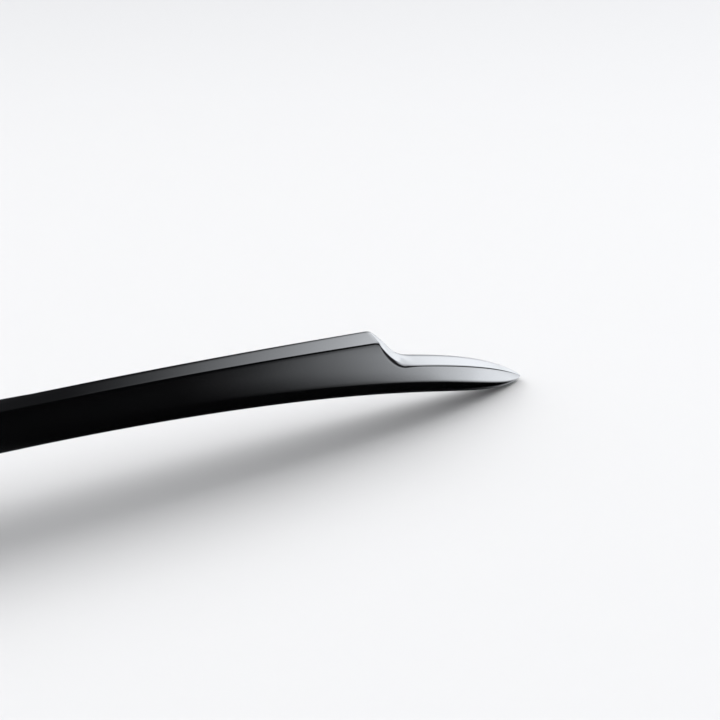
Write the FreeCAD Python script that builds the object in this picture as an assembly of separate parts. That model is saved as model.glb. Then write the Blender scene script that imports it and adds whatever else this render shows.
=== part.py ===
import FreeCAD
import Part
import math
import os

# Spoiler extension for the trailing edge of a boot lid, moulded in one piece.
# Millimetres. X runs across the car to the right, Y forward, Z up.
# The origin is the middle of the rear bonding land on the centre plane.

# Planform
half_width = 620.0        # centre plane to the pointed tip
plan_bow = 61.5           # forward sweep of the trailing edge at the tip
plan_turn = 35.0          # further sweep where the edge turns round the lid's corner
plan_turn_power = 8.0
chord_centre = 100.0      # trailing edge to front edge on the centre plane
chord_tip = 10.0

# Rear view
crown_drop = 77.0         # fall of the low crest from the centre to the tip
corner_drop = 21.0        # further fall at the lid's corner
corner_drop_power = 7.0
crest_height = 35.5       # raised crest above the rear land on the centre plane
crest_bow = 21.0          # fall of the raised crest from the centre to the step
low_height = 27.4         # low crest above the rear land
low_taper_power = 15.0    # how late the low section closes towards the tip
tip_fraction = 0.10       # part of the section's size that is left at the tip

# Step between the raised block and the low ends
step_x = 408.0            # sharp corner of the crest
step_run = 34.0           # length of the hollow sweep down to the low crest
ridge_round = 9.0         # rounding of the shoulder where it reaches the ridge
shoulder_sweep = 8.0      # how far outboard the shoulder runs between crest and ridge

# Section
strip_depth = 15.5        # bevelled strip between the crest and the ridge
strip_rise_centre = 5.2
strip_rise_step = 9.6
strip_rise_low = 7.9
crest_edge = 1.2          # edge rounding of the crest
rear_lean = 6.0           # degrees that the rear face leans over the lid
curl_radius = 13.0        # roll of the rear face into the rear land
rear_land = 11.0
front_land = 22.0
front_land_height = 12.0  # front land above the rear land
front_edge = 1.6
roll_back = 0.35          # share of the strip taken by the roll over the ridge
roll_front = 0.22
sweep_reach = 0.45        # corner of the hollow front sweep, from ridge to front edge
sweep_height = 0.28

# Hollow underside
wall = 3.0
solid_tip = 70.0          # length of each end that is moulded solid
cavity_lead = 4.0         # the hollow steps down this far before the outside does

lean = math.tan(math.radians(rear_lean))
land_middle = lean * (low_height - curl_radius) + curl_radius + rear_land / 2


def reach(x):
    return min(abs(x) / half_width, 1.0)


def size(x):
    return tip_fraction + (1 - tip_fraction) * (1 - reach(x) ** low_taper_power)


def plan(x):
    return plan_bow * reach(x) ** 2 + plan_turn * reach(x) ** plan_turn_power


def chord(x):
    return chord_tip + (chord_centre - chord_tip) * (1 - reach(x) ** 3.5) ** 0.8


def low_crest(x):
    return low_height - crown_drop * reach(x) ** 2 - corner_drop * reach(x) ** corner_drop_power


def land_level(x):
    return low_crest(x) - low_height * size(x)


def high_crest(x):
    return crest_height - crest_bow * (x / step_x) ** 2


def step_area(x):
    if x <= step_x:
        return x
    t = min((x - step_x) / step_run, 1.0)
    return step_x + step_run / 3 * (1 - (1 - t) ** 3)


def step_share(x, rounding):
    x = abs(x)
    if rounding > 0:
        return (step_area(x + rounding) - step_area(x - rounding)) / (2 * rounding)
    t = min(max((x - step_x) / step_run, 0.0), 1.0)
    return (1 - t) ** 2


def raised(x):
    inside = min(abs(x), step_x)
    return high_crest(inside) - low_crest(inside)


def strip_rise(x, share):
    inside = min(abs(x) / step_x, 1.0)
    block = strip_rise_centre + (strip_rise_step - strip_rise_centre) * inside ** 2
    return share * block + (1 - share) * strip_rise_low * size(x)


def lerp(a, b, t):
    return (a[0] + (b[0] - a[0]) * t, a[1] + (b[1] - a[1]) * t)


def shifted(a, b, d):
    # The line a-b moved by d to the right of its direction.
    length = math.hypot(b[0] - a[0], b[1] - a[1])
    n = ((b[1] - a[1]) / length * d, -(b[0] - a[0]) / length * d)
    return (a[0] + n[0], a[1] + n[1]), (b[0] + n[0], b[1] + n[1])


def crossing(p, q):
    (a, b), (c, d) = p, q
    u = (b[0] - a[0], b[1] - a[1])
    v = (d[0] - c[0], d[1] - c[1])
    t = ((c[0] - a[0]) * v[1] - (c[1] - a[1]) * v[0]) / (u[0] * v[1] - u[1] * v[0])
    return lerp(a, b, t)


def section(x, crest_share, ridge_share):
    # Corner points of the outside, as (distance ahead of the low crest, height above the land).
    k = size(x)
    low = low_height * k
    top = low + raised(x) * crest_share
    crest = (-lean * (top - low), top)
    ridge_base = low + raised(x) * ridge_share
    ridge = (crest[0] + strip_depth * k, ridge_base + strip_rise(x, ridge_share))
    land = front_land_height * k
    front = (chord(x), land + front_edge * (0.4 + 0.6 * k))
    sweep = (ridge[0] + sweep_reach * (front[0] - ridge[0]),
             front[1] + sweep_height * (ridge[1] - front[1]))
    radius = curl_radius * k
    foot = lean * (low - radius)
    return {
        "k": k, "crest": crest, "ridge": ridge, "sweep": sweep, "front": front,
        "strip_end": lerp(ridge, crest, roll_back), "sweep_start": lerp(ridge, sweep, roll_front),
        "front_under": (front[0], land), "front_inner": (front[0] - front_land * k, land),
        "curl_top": (foot, radius), "curl_end": (foot + radius, 0.0), "radius": radius,
        "land_end": (foot + radius + rear_land * k, 0.0),
    }


def curl(top, end, radius):
    # Quarter roll from the leaning rear face to the level land.
    hold = 0.55 * radius
    return [top, (top[0] + hold * lean, top[1] - hold), (end[0] - hold, end[1]), end]


def outside(x):
    s = section(x, step_share(x, 0), step_share(abs(x) - shoulder_sweep, ridge_round))
    edge = crest_edge * s["k"]
    strip = math.dist(s["crest"], s["strip_end"])
    before = lerp(s["crest"], s["strip_end"], edge / strip)
    after = (s["crest"][0] + lean * edge, s["crest"][1] - edge)
    return {
        "sweep": [s["front"], s["sweep"], s["sweep_start"]],
        "ridge": [s["sweep_start"], s["ridge"], s["strip_end"]],
        "strip": [s["strip_end"], before],
        "crest": [before, s["crest"], after],
        "rear": [after, s["curl_top"]],
        "curl": curl(s["curl_top"], s["curl_end"], s["radius"]),
        "rear_land": [s["curl_end"], s["land_end"]],
        "tip_under": [s["land_end"], s["front_inner"]],
        "front_land": [s["front_inner"], s["front_under"]],
        "front_edge": [s["front_under"], s["front"]],
    }


def inside(x):
    share = step_share(abs(x) + cavity_lead, ridge_round)
    s = section(x, share, share)
    skin_depth = wall * s["k"]
    a = s["sweep_start"]
    b = s["sweep"]
    c = s["front"]
    # Length of the front sweep that lies behind the front land.
    stop = s["front_inner"][0]
    p = a[0] - 2 * b[0] + c[0]
    q = 2 * (b[0] - a[0])
    r = a[0] - stop
    t = -2 * r / (q + math.sqrt(q * q - 4 * p * r))
    control = lerp(a, b, t)
    end = lerp(control, lerp(b, c, t), t)
    roof = shifted(a, control, skin_depth)
    roof_end = shifted(control, end, skin_depth)
    strip = shifted(s["strip_end"], s["ridge"], skin_depth)
    rear = shifted(s["curl_top"], s["crest"], skin_depth)
    corner = crossing(strip, rear)
    front_top = (stop, roof_end[1][1])
    curl_end = (s["curl_end"][0], skin_depth)
    lip = (s["land_end"][0], skin_depth)
    return {
        "front_wall": [s["front_inner"], front_top],
        "roof": [front_top, crossing(roof, roof_end), roof[0]],
        "ridge": [roof[0], crossing(strip, roof), strip[0]],
        "strip": [strip[0], corner],
        "rear": [corner, rear[0]],
        "curl": curl(rear[0], curl_end, s["radius"] - skin_depth),
        "land": [curl_end, lip],
        "lip": [lip, s["land_end"]],
    }


def place(x, p):
    return FreeCAD.Vector(x, plan(x) + p[0] - land_middle, land_level(x) + p[1])


def skin(stations, profile):
    # One surface per piece of the profile, carried smoothly through the stations.
    rows = [profile(x) for x in stations]
    surfaces = {}
    for name in rows[0]:
        tracks = []
        for i in range(len(rows[0][name])):
            track = Part.BSplineCurve()
            points = [place(x, row[name][i]) for x, row in zip(stations, rows)]
            track.interpolate(Points=points, Parameters=stations)
            tracks.append(track)
        poles = [list(row) for row in zip(*[t.getPoles() for t in tracks])]
        order = len(tracks)
        first = tracks[0]
        surfaces[name] = Part.BSplineSurface()
        surfaces[name].buildFromPolesMultsKnots(
            poles, first.getMultiplicities(), [order, order], first.getKnots(), [0.0, 1.0],
            False, False, first.Degree, order - 1)
    return surfaces


def between(surface, start, stop):
    piece = surface.copy()
    piece.segment(start, stop, 0.0, 1.0)
    return piece.toShape()


def end_face(x, pieces):
    edges = []
    for points in pieces:
        curve = Part.BezierCurve()
        curve.setPoles([place(x, p) for p in points])
        edges.append(curve.toShape())
    return Part.Face(Part.Wire(edges))


def hollow_end_face(x):
    pieces = inside(x)
    pieces["opening"] = outside(x)["tip_under"]
    return end_face(x, pieces.values())


def both_sides(values):
    return [-v for v in reversed(values) if v > 0] + values


block_stations = [step_x * f for f in (0.0, 0.45, 0.8)]
block_stations += [step_x - ridge_round * f for f in (3.5, 1.6, 0.7, 0)]
step_end = step_x + step_run + shoulder_sweep + ridge_round
hollow_end = half_width - solid_tip
end_stations = [step_x + (step_end - step_x) * i / 9 for i in range(10)]
end_stations += [step_end + (hollow_end - step_end) * i / 3 for i in range(1, 4)]
end_stations += [hollow_end + solid_tip * math.sin(math.pi / 2 * i / 4) for i in range(1, 5)]

faces = []
stations = both_sides(block_stations)
for profile in (outside, inside):
    for name, surface in skin(stations, profile).items():
        if name != "tip_under":
            faces.append(surface.toShape())
for side in (1, -1):
    stations = sorted(side * x for x in end_stations)
    hollow = sorted((side * step_x, side * hollow_end))
    tip = sorted((side * hollow_end, side * half_width))
    for name, surface in skin(stations, outside).items():
        faces.append(between(surface, *tip))
        if name != "tip_under":
            faces.append(between(surface, *hollow))
    for surface in skin(stations, inside).values():
        faces.append(between(surface, *hollow))
    faces.append(hollow_end_face(side * hollow_end))
    faces.append(end_face(side * half_width, outside(side * half_width).values()))

shell = Part.makeShell(faces)
shell.sewShape()
spoiler = Part.Solid(shell)
if spoiler.Volume < 0:
    spoiler.reverse()

os.makedirs("parts", exist_ok=True)
spoiler.exportStep("parts/spoiler_extension.step")
print("faces", len(spoiler.Faces), "closed", shell.isClosed(), "valid", spoiler.isValid())
print("volume", round(spoiler.Volume), "box", spoiler.BoundBox)
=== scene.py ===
import math
import bmesh
import bpy
from mathutils import Matrix, Vector


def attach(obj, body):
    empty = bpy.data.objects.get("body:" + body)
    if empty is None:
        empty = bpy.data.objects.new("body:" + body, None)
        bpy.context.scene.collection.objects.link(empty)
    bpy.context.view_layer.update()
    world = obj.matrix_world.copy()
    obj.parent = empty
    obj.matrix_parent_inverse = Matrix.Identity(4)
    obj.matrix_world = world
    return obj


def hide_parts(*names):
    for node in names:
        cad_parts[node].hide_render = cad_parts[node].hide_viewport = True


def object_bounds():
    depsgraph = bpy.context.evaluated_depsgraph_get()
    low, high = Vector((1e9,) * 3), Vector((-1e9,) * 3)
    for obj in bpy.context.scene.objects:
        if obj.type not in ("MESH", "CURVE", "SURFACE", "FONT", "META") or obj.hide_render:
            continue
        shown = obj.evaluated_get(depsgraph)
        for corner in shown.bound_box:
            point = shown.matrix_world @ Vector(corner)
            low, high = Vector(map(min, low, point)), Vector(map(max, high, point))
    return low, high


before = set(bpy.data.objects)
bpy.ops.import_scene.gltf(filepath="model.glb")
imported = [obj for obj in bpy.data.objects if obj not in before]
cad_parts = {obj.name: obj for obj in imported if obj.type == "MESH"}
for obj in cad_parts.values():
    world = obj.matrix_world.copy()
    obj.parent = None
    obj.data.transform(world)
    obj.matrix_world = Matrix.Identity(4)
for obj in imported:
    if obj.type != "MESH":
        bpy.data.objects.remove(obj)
cad_low, cad_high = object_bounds()

# The moulding's sizes in millimetres: all but the last group are those of the CAD source.

# Planform
half_width = 620.0        # centre plane to the pointed tip
plan_bow = 61.5           # forward sweep of the trailing edge at the tip
plan_turn = 35.0          # further sweep where the edge turns round to the tip
plan_turn_power = 8.0
chord_centre = 100.0      # trailing edge to front edge on the centre plane
chord_tip = 10.0
chord_power = 3.5         # how late the chord starts to close
chord_close = 0.8         # how bluntly it closes at the tip

# Rear view
crown_drop = 77.0         # fall of the low crest from the centre to the tip
corner_drop = 21.0        # further fall where the edge turns round to the tip
corner_drop_power = 7.0
crest_height = 35.5       # raised crest above the rear land on the centre plane
crest_bow = 21.0          # fall of the raised crest from the centre to the step
low_height = 27.4         # low crest above the rear land
low_taper_power = 15.0    # how late the low section closes towards the tip
tip_fraction = 0.10       # part of the section's size that is left at the tip

# Step between the raised block and the low ends
step_x = 408.0            # sharp corner of the crest
step_run = 34.0           # length of the hollow sweep down to the low crest
ridge_round = 9.0         # rounding of the shoulder, here on the inside only
shoulder_sweep = 8.0      # how far outboard the shoulder runs between crest and ridge

# Section
strip_depth = 15.5        # bevelled strip between the crest and the ridge
strip_rise_centre = 5.2   # rise of the strip from the crest to the ridge
strip_rise_step = 9.6
strip_rise_low = 7.9
crest_edge = 1.2          # edge rounding of the crest
rear_lean = 6.0           # degrees that the rear face overhangs its foot
curl_radius = 13.0        # roll of the rear face into the rear land
curl_hold = 0.55          # handle of the roll's curve, as a share of its radius
rear_land = 11.0
front_land = 22.0
front_land_height = 12.0  # front land above the rear land
front_edge = 1.6
front_edge_kept = 0.4     # share of the front edge that does not shrink towards the tip
roll_back = 0.35          # share of the strip taken by the roll over the ridge
roll_front = 0.22         # share of the front sweep's first leg taken by the same roll
sweep_reach = 0.45        # corner of the hollow front sweep, from ridge to front edge
sweep_height = 0.28

# Hollow underside
wall = 3.0
solid_tip = 70.0          # length of each end that is moulded solid
cavity_lead = 4.0         # the hollow steps down this far before the outside does

# Softer forms that only this skin has
shoulder_round = 13.0     # rounding of the shoulder where it reaches the ridge
rear_crown = 2.0          # degrees that the rear face turns under further at its foot
crown_height = 26.0       # height above the foot where the crowned face meets the straight one
rim_round = 2.8           # further edge rounding of the crest along the step
rim_lead = 6.0            # the rim starts this far before the step's corner
rim_rise = 12.0           # length over which it comes in
rim_past = 20.0           # it ends this far past the foot of the step
rim_fade = 50.0           # length over which it goes out

lean = math.tan(math.radians(rear_lean))
lean_foot = math.tan(math.radians(rear_lean + rear_crown))
land_middle = lean * (low_height - curl_radius) + curl_radius + rear_land / 2
mm_per_metre = 1000


def reach(x):
    return min(abs(x) / half_width, 1.0)


def size(x):
    return tip_fraction + (1 - tip_fraction) * (1 - reach(x) ** low_taper_power)


def plan(x):
    return plan_bow * reach(x) ** 2 + plan_turn * reach(x) ** plan_turn_power


def chord(x):
    return chord_tip + (chord_centre - chord_tip) * (1 - reach(x) ** chord_power) ** chord_close


def low_crest(x):
    return low_height - crown_drop * reach(x) ** 2 - corner_drop * reach(x) ** corner_drop_power


def land_level(x):
    return low_crest(x) - low_height * size(x)


def high_crest(x):
    return crest_height - crest_bow * (x / step_x) ** 2


def step_area(x):
    # Sum of the block's share from the centre plane to x.
    if x <= step_x:
        return x
    along = min((x - step_x) / step_run, 1.0)
    return step_x + step_run / 3 * (1 - (1 - along) ** 3)


def step_share(x, rounding):
    # Share of the raised block that is left at x, or its mean over the rounding on both sides.
    x = abs(x)
    if rounding > 0:
        return (step_area(x + rounding) - step_area(x - rounding)) / (2 * rounding)
    along = min(max((x - step_x) / step_run, 0.0), 1.0)
    return (1 - along) ** 2


def step_rim(x):
    # Share of the further edge rounding at x, which comes in and goes out smoothly.
    rise = (abs(x) - step_x + rim_lead) / rim_rise
    fade = (step_x + step_run + rim_past - abs(x)) / rim_fade
    share = max(0, min(1, rise, fade))
    return share * share * (3 - 2 * share)


def raised(x):
    on_block = min(abs(x), step_x)
    return high_crest(on_block) - low_crest(on_block)


def strip_rise(x, share):
    on_block = min(abs(x) / step_x, 1.0)
    block = strip_rise_centre + (strip_rise_step - strip_rise_centre) * on_block ** 2
    return share * block + (1 - share) * strip_rise_low * size(x)


def lerp(start, stop, share):
    return (start[0] + (stop[0] - start[0]) * share, start[1] + (stop[1] - start[1]) * share)


def shifted(start, stop, depth):
    # The line from start to stop, moved by depth to the right of its direction.
    run = (stop[0] - start[0], stop[1] - start[1])
    length = math.hypot(*run)
    offset = (run[1] / length * depth, -run[0] / length * depth)
    return [(point[0] + offset[0], point[1] + offset[1]) for point in (start, stop)]


def crossing(line, other):
    # The point where two lines meet.
    run = (line[1][0] - line[0][0], line[1][1] - line[0][1])
    other_run = (other[1][0] - other[0][0], other[1][1] - other[0][1])
    gap = (other[0][0] - line[0][0], other[0][1] - line[0][1])
    share = gap[0] * other_run[1] - gap[1] * other_run[0]
    return lerp(*line, share / (run[0] * other_run[1] - run[1] * other_run[0]))


def rear_at(height, low, scale):
    # How far ahead the slightly crowned rear face lies at a height.
    rise = height - curl_radius * scale
    bend = (lean_foot - lean) / (crown_height * scale)
    return lean * (low - curl_radius * scale) - lean_foot * rise + bend * rise ** 2


def section(x, crest_share, ridge_share):
    # Corner points of the outside, as (distance ahead of the low crest, height above the land).
    scale = size(x)
    low = low_height * scale
    top = low + raised(x) * crest_share
    crest = (rear_at(top, low, scale), top)
    ridge_base = low + raised(x) * ridge_share
    ridge = (crest[0] + strip_depth * scale, ridge_base + strip_rise(x, ridge_share))
    land = front_land_height * scale
    front = (chord(x), land + front_edge * (front_edge_kept + (1 - front_edge_kept) * scale))
    sweep = (ridge[0] + sweep_reach * (front[0] - ridge[0]),
             front[1] + sweep_height * (ridge[1] - front[1]))
    radius = curl_radius * scale
    foot = lean * (low - radius)
    return {
        "scale": scale, "low": low, "radius": radius,
        "crest": crest, "ridge": ridge, "sweep": sweep, "front": front,
        "strip_end": lerp(ridge, crest, roll_back), "sweep_start": lerp(ridge, sweep, roll_front),
        "front_under": (front[0], land), "front_inner": (front[0] - front_land * scale, land),
        "curl_top": (foot, radius), "curl_end": (foot + radius, 0.0),
        "land_end": (foot + radius + rear_land * scale, 0.0),
    }


def curl(top, end, radius, slope):
    # Quarter roll from the leaning rear face to the level land.
    hold = curl_hold * radius
    return [top, (top[0] + hold * slope, top[1] - hold), (end[0] - hold, end[1]), end]


def outside(x):
    form = section(x, step_share(x, 0), step_share(abs(x) - shoulder_sweep, shoulder_round))
    edge = (crest_edge + rim_round * step_rim(x)) * form["scale"]
    strip = math.dist(form["crest"], form["strip_end"])
    before = lerp(form["crest"], form["strip_end"], edge / strip)
    after_height = form["crest"][1] - edge
    after = (rear_at(after_height, form["low"], form["scale"]), after_height)
    foot = form["curl_top"]
    half = (after[1] - foot[1]) / 2
    middle = (foot[0] - lean_foot * half, foot[1] + half)
    return {
        "sweep": [form["front"], form["sweep"], form["sweep_start"]],
        "ridge": [form["sweep_start"], form["ridge"], form["strip_end"]],
        "strip": [form["strip_end"], before],
        "crest": [before, form["crest"], after],
        "rear": [after, middle, foot],
        "curl": curl(foot, form["curl_end"], form["radius"], lean_foot),
        "rear_land": [form["curl_end"], form["land_end"]],
        "tip_under": [form["land_end"], form["front_inner"]],
        "front_land": [form["front_inner"], form["front_under"]],
        "front_edge": [form["front_under"], form["front"]],
    }


def inside(x):
    share = step_share(abs(x) + cavity_lead, ridge_round)
    form = section(x, share, share)
    depth = wall * form["scale"]
    start = form["sweep_start"]
    corner = form["sweep"]
    front = form["front"]
    # The roof follows the front sweep as far as the front land.
    stop = form["front_inner"][0]
    bend = start[0] - 2 * corner[0] + front[0]
    lead = 2 * (corner[0] - start[0])
    gap = stop - start[0]
    part = 2 * gap / (lead + math.sqrt(lead * lead + 4 * bend * gap))
    control = lerp(start, corner, part)
    end = lerp(control, lerp(corner, front, part), part)
    roof = shifted(start, control, depth)
    roof_end = shifted(control, end, depth)
    strip = shifted(form["strip_end"], form["ridge"], depth)
    rear = shifted(form["curl_top"], form["crest"], depth)
    crest = crossing(strip, rear)
    front_top = (stop, roof_end[1][1])
    curl_end = (form["curl_end"][0], depth)
    lip = (form["land_end"][0], depth)
    return {
        "front_wall": [form["front_inner"], front_top],
        "roof": [front_top, crossing(roof, roof_end), roof[0]],
        "ridge": [roof[0], crossing(strip, roof), strip[0]],
        "strip": [strip[0], crest],
        "rear": [crest, rear[0]],
        "curl": curl(rear[0], curl_end, form["radius"] - depth, lean),
        "land": [curl_end, lip],
        "lip": [lip, form["land_end"]],
    }


def place(x, point):
    return Vector((x, plan(x) + point[0] - land_middle, land_level(x) + point[1])) / mm_per_metre


def bezier(points, share):
    while len(points) > 1:
        points = [lerp(start, stop, share) for start, stop in zip(points, points[1:])]
    return points[0]


# Skin: a fine mesh, with steps across each piece of the section and stations along the part
outer_steps = {"sweep": 22, "ridge": 14, "strip": 8, "crest": 6, "rear": 12, "curl": 14,
               "rear_land": 3, "tip_under": 6, "front_land": 5, "front_edge": 2}
inner_steps = {"front_wall": 2, "roof": 12, "ridge": 6, "strip": 4, "rear": 6, "curl": 8,
               "land": 3, "lip": 2}
gloss_pieces = ("sweep", "ridge", "strip", "crest", "rear", "curl", "front_edge")
land_pieces = ("rear_land", "front_land")
gloss_slot = 0
raw_slot = 1
near_step = step_x - 40
at_step = step_x - 10
step_end = step_x + step_run + shoulder_sweep + ridge_round
hollow_end = half_width - solid_tip
near_tip = half_width - 12
stretches = [0, near_step, at_step, step_end, hollow_end, near_tip, half_width]
spacings = [7, 3, 0.8, 3, 2.5, 1]  # between stations on each stretch
weld_distance = 2e-6      # metres
crease_angle = 32         # degrees


def spread(start, stop, spacing):
    count = max(1, round((stop - start) / spacing))
    return [start + (stop - start) * i / count for i in range(count)]


def all_stations():
    right = []
    for start, stop, spacing in zip(stretches, stretches[1:], spacings):
        right += spread(start, stop, spacing)
    right.append(half_width)
    return [-x for x in reversed(right[1:])] + right


def grid(mesh, stations, profile, steps, names, slot_index):
    # Faces from station to station on the named pieces of the section.
    rows = []
    for x in stations:
        pieces = profile(x)
        rows.append({name: [mesh.verts.new(place(x, bezier(pieces[name], i / steps[name])))
                            for i in range(steps[name] + 1)] for name in names})
    for row, next_row in zip(rows, rows[1:]):
        for name in names:
            for i in range(steps[name]):
                corners = row[name][i], row[name][i + 1], next_row[name][i + 1], next_row[name][i]
                face = mesh.faces.new(corners)
                face.material_index = slot_index


def flat_end(mesh, x, pieces, steps, slot_index):
    # Flat wall that closes the section at x.
    loop = []
    for name, points in pieces.items():
        loop += [place(x, bezier(points, i / steps[name])) for i in range(steps[name])]
    face = mesh.faces.new([mesh.verts.new(point) for point in loop])
    face.material_index = slot_index
    bmesh.ops.triangulate(mesh, faces=[face], ngon_method="BEAUTY")


def skin_mesh():
    mesh = bmesh.new()
    stations = all_stations()
    grid(mesh, stations, outside, outer_steps, gloss_pieces, gloss_slot)
    grid(mesh, stations, outside, outer_steps, land_pieces, raw_slot)
    hollow = [x for x in stations if abs(x) <= hollow_end]
    grid(mesh, hollow, inside, inner_steps, tuple(inner_steps), raw_slot)
    for side in (-1, 1):
        tip = [x for x in stations if side * x >= hollow_end]
        grid(mesh, tip, outside, outer_steps, ("tip_under",), raw_slot)
        hollow_wall = inside(side * hollow_end)
        hollow_wall["tip_under"] = outside(side * hollow_end)["tip_under"]
        wall_steps = {**inner_steps, "tip_under": outer_steps["tip_under"]}
        flat_end(mesh, side * hollow_end, hollow_wall, wall_steps, raw_slot)
        flat_end(mesh, side * half_width, outside(side * half_width), outer_steps, gloss_slot)
    bmesh.ops.remove_doubles(mesh, verts=mesh.verts, dist=weld_distance)
    bmesh.ops.recalc_face_normals(mesh, faces=mesh.faces)
    data = bpy.data.meshes.new("spoiler_skin")
    mesh.to_mesh(data)
    mesh.free()
    data.shade_smooth()
    data.set_sharp_from_angle(angle=math.radians(crease_angle))
    return data


def add_object(name, data):
    item = bpy.data.objects.new(name, data)
    bpy.context.scene.collection.objects.link(item)
    return item


skin = add_object("spoiler_skin", skin_mesh())
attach(skin, "root")
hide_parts("spoiler_extension")

# Materials
noise_span = (0.35, 0.65)  # the values that noise mostly takes


def shader(name, colour):
    material = bpy.data.materials.new(name)
    material.use_nodes = True
    principled = material.node_tree.nodes["Principled BSDF"]
    principled.inputs["Base Color"].default_value = (*colour, 1)
    return material, principled.inputs


def noise(tree, scale, detail):
    coords = tree.nodes.new("ShaderNodeTexCoord")
    node = tree.nodes.new("ShaderNodeTexNoise")
    node.inputs["Scale"].default_value = scale
    node.inputs["Detail"].default_value = detail
    tree.links.new(coords.outputs["Object"], node.inputs["Vector"])
    return node


def uneven_roughness(tree, inputs, node, low, high):
    ranged = tree.nodes.new("ShaderNodeMapRange")
    limits = {"From Min": noise_span[0], "From Max": noise_span[1], "To Min": low, "To Max": high}
    for name, value in limits.items():
        ranged.inputs[name].default_value = value
    tree.links.new(node.outputs["Fac"], ranged.inputs["Value"])
    tree.links.new(ranged.outputs["Result"], inputs["Roughness"])


def bump(tree, inputs, node, strength, distance):
    relief = tree.nodes.new("ShaderNodeBump")
    relief.inputs["Strength"].default_value = strength
    relief.inputs["Distance"].default_value = distance
    tree.links.new(node.outputs["Fac"], relief.inputs["Height"])
    tree.links.new(relief.outputs["Normal"], inputs["Normal"])


def gloss_black():
    # Gloss moulding: a very slight ripple in the surface and a faint haze of dust.
    material, inputs = shader("gloss_black", colour=(0.0022, 0.0022, 0.0025))
    tree = material.node_tree
    inputs["IOR"].default_value = 1.5
    uneven_roughness(tree, inputs, noise(tree, scale=26, detail=4), low=0.05, high=0.10)
    bump(tree, inputs, noise(tree, scale=420, detail=2), strength=0.02, distance=0.0004)
    return material


def raw_black():
    # Raw moulding on the hidden side: dull with a fine grain.
    material, inputs = shader("raw_black", colour=(0.018, 0.018, 0.019))
    tree = material.node_tree
    uneven_roughness(tree, inputs, noise(tree, scale=60, detail=4), low=0.42, high=0.58)
    bump(tree, inputs, noise(tree, scale=2200, detail=3), strength=0.25, distance=0.0002)
    return material


def pale_floor():
    material, inputs = shader("pale_floor", colour=(0.634, 0.617, 0.601))
    inputs["Roughness"].default_value = 0.8
    inputs["Specular IOR Level"].default_value = 0.1
    return material


skin.data.materials.append(gloss_black())
skin.data.materials.append(raw_black())

# Pale floor, kept out of the gloss so that the moulding mirrors the studio only
floor_half = 30
floor_gap = 0.002
floor_level = cad_low.z - floor_gap
floor_corners = [(floor_half * across, floor_half * ahead, floor_level)
                 for across, ahead in ((-1, -1), (1, -1), (1, 1), (-1, 1))]
floor_data = bpy.data.meshes.new("floor")
floor_data.from_pydata(floor_corners, [], [(0, 1, 2, 3)])
floor_data.materials.append(pale_floor())
floor = add_object("floor", floor_data)
floor.visible_glossy = False

# Studio: the light that comes from each direction, which the gloss mirrors
studio_strength = 9.0
studio_tint = (0.965, 1.0, 1.05)
world = bpy.data.worlds.new("studio")
bpy.context.scene.world = world
world.use_nodes = True
studio = world.node_tree
background = studio.nodes["Background"]
studio_coords = studio.nodes.new("ShaderNodeTexCoord")


def shade(direction, stops):
    # Brightness by how far a direction points along the given one, from 0, against it, to 1.
    along = studio.nodes.new("ShaderNodeVectorMath")
    along.operation = "DOT_PRODUCT"
    along.inputs[1].default_value = direction
    studio.links.new(studio_coords.outputs["Generated"], along.inputs[0])
    fade = studio.nodes.new("ShaderNodeValToRGB")
    fade.color_ramp.interpolation = "LINEAR"
    while len(fade.color_ramp.elements) < len(stops):
        fade.color_ramp.elements.new(position=0.5)
    for element, (at, value) in zip(fade.color_ramp.elements, stops):
        element.position = at
        element.color = (value, value, value, 1)
    shift = studio.nodes.new("ShaderNodeMapRange")
    shift.inputs["From Min"].default_value = -1
    studio.links.new(along.outputs["Value"], shift.inputs["Value"])
    studio.links.new(shift.outputs["Result"], fade.inputs["Fac"])
    return fade.outputs["Color"]


def combine(operation, first, second):
    node = studio.nodes.new("ShaderNodeVectorMath")
    node.operation = operation
    studio.links.new(first, node.inputs[0])
    studio.links.new(second, node.inputs[1])
    return node.outputs["Vector"]


# The key stands on the right. Its edge lies where the rear face turns from black to grey.
key = shade((1, 0, 0.08), [(0.772, 0.008), (0.788, 0.03), (0.803, 0.066), (0.817, 0.13),
                           (0.8365, 0.24), (0.8545, 0.36), (0.88, 0.55), (0.895, 0.70), (0.93, 0.82)])
# A dark horizon draws the edges. It ends ahead of the part, where the step looks.
key_height = shade((0, 0, 1), [(0.24, 0.0), (0.288, 1.0), (0.315, 1.0), (0.38, 0.1), (0.44, 0.015),
                               (0.54, 0.015), (0.62, 0.62), (0.675, 0.70), (0.80, 0.95)])
key_ahead = shade((0, 1, 0), [(0.62, 0.0), (0.70, 0.80)])
# The key ends behind the part, and is weaker low down ahead of it.
key_back = shade((0, -0.8, 0.4), [(0.67, 1.0), (0.725, 0.0)])
key_end = shade((0, 0.8, -0.6), [(0.55, 1.0), (0.72, 0.45)])
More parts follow.
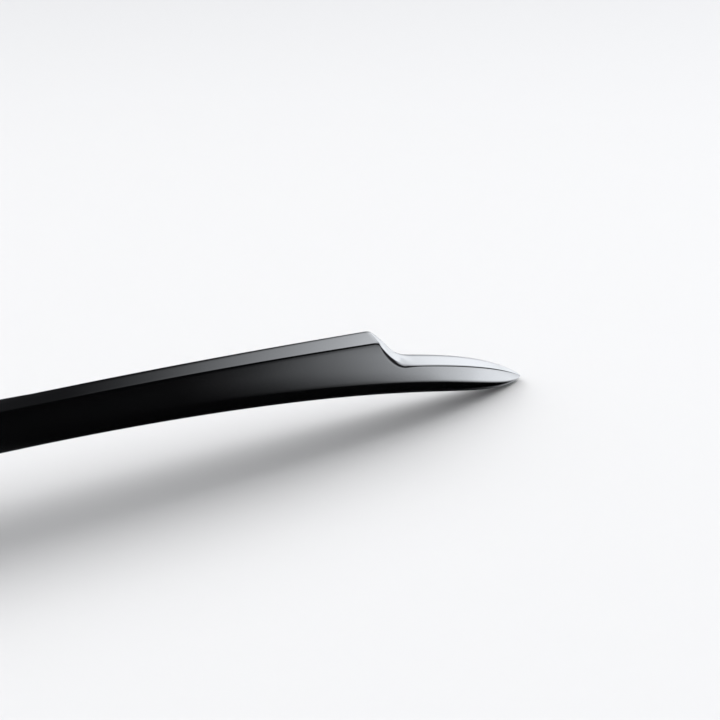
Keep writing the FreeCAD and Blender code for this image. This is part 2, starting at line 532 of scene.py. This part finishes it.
# A weak fill on the left is brightest well above the horizon.
fill = shade((1, 0, 0), [(0.0, 0.26), (0.50, 0.24), (0.62, 0.11), (0.72, 0.0)])
fill_height = shade((0, 0, 1), [(0.0, 0.40), (0.44, 0.30), (0.52, 0.12), (0.68, 0.28), (0.76, 1.0),
                                (0.86, 1.0), (0.92, 0.40), (1.0, 0.35)])
lit = combine("MULTIPLY", key, combine("MAXIMUM", key_height, key_ahead))
lit = combine("MULTIPLY", lit, combine("MULTIPLY", key_back, key_end))
lit = combine("ADD", lit, combine("MULTIPLY", fill, fill_height))
tint = studio.nodes.new("ShaderNodeVectorMath")
tint.operation = "MULTIPLY"
tint.inputs[1].default_value = studio_tint
studio.links.new(lit, tint.inputs[0])
studio.links.new(tint.outputs["Vector"], background.inputs["Color"])
background.inputs["Strength"].default_value = studio_strength

# Overhead softbox, which lights the floor and is not seen in the gloss
softbox_at = Vector((0.4, 0.6, 2.6))
softbox_aim = Vector((0.2, 0.3, 0))
softbox_light = bpy.data.lights.new("overhead", "AREA")
softbox_light.shape = "SQUARE"
softbox_light.size = 4.0
softbox_light.energy = 25
softbox = add_object("overhead", softbox_light)
softbox.location = softbox_at
softbox.rotation_euler = (softbox_aim - softbox_at).to_track_quat("-Z", "Y").to_euler()
softbox.visible_glossy = False

# Camera: behind the part and left of its right step, a little above it, through a long lens
yaw = math.radians(54.2)
pitch = math.radians(15.83)
roll = math.radians(-1.768)
distance = 1.836          # metres from the step's corner, along the view
picture = 720             # width and height of the picture in pixels
focal = 2200              # focal length in pixels
corner_at = (379.5, 342.7)  # the step's corner in the picture, in pixels
sensor = 36               # millimetres
forward = Vector((math.cos(yaw) * math.cos(pitch), math.sin(yaw) * math.cos(pitch), -math.sin(pitch)))
level = Vector((math.sin(yaw), -math.cos(yaw), 0))
upright = level.cross(forward)
right = math.cos(roll) * level + math.sin(roll) * upright
up = -math.sin(roll) * level + math.cos(roll) * upright
step_corner = place(step_x, section(step_x, 1, 1)["crest"])
ray = forward + right * (corner_at[0] - picture / 2) / focal - up * (corner_at[1] - picture / 2) / focal
spot = step_corner - distance * ray
camera_data = bpy.data.cameras.new("camera")
camera_data.sensor_width = sensor
camera_data.lens = sensor * focal / picture
camera_data.clip_start = 0.05
camera_data.clip_end = 100
camera = add_object("camera", camera_data)
camera.matrix_world = Matrix((
    (right.x, up.x, -forward.x, spot.x),
    (right.y, up.y, -forward.y, spot.y),
    (right.z, up.z, -forward.z, spot.z),
    (0, 0, 0, 1)))
bpy.context.scene.camera = camera

bpy.context.scene.view_settings.view_transform = "Standard"
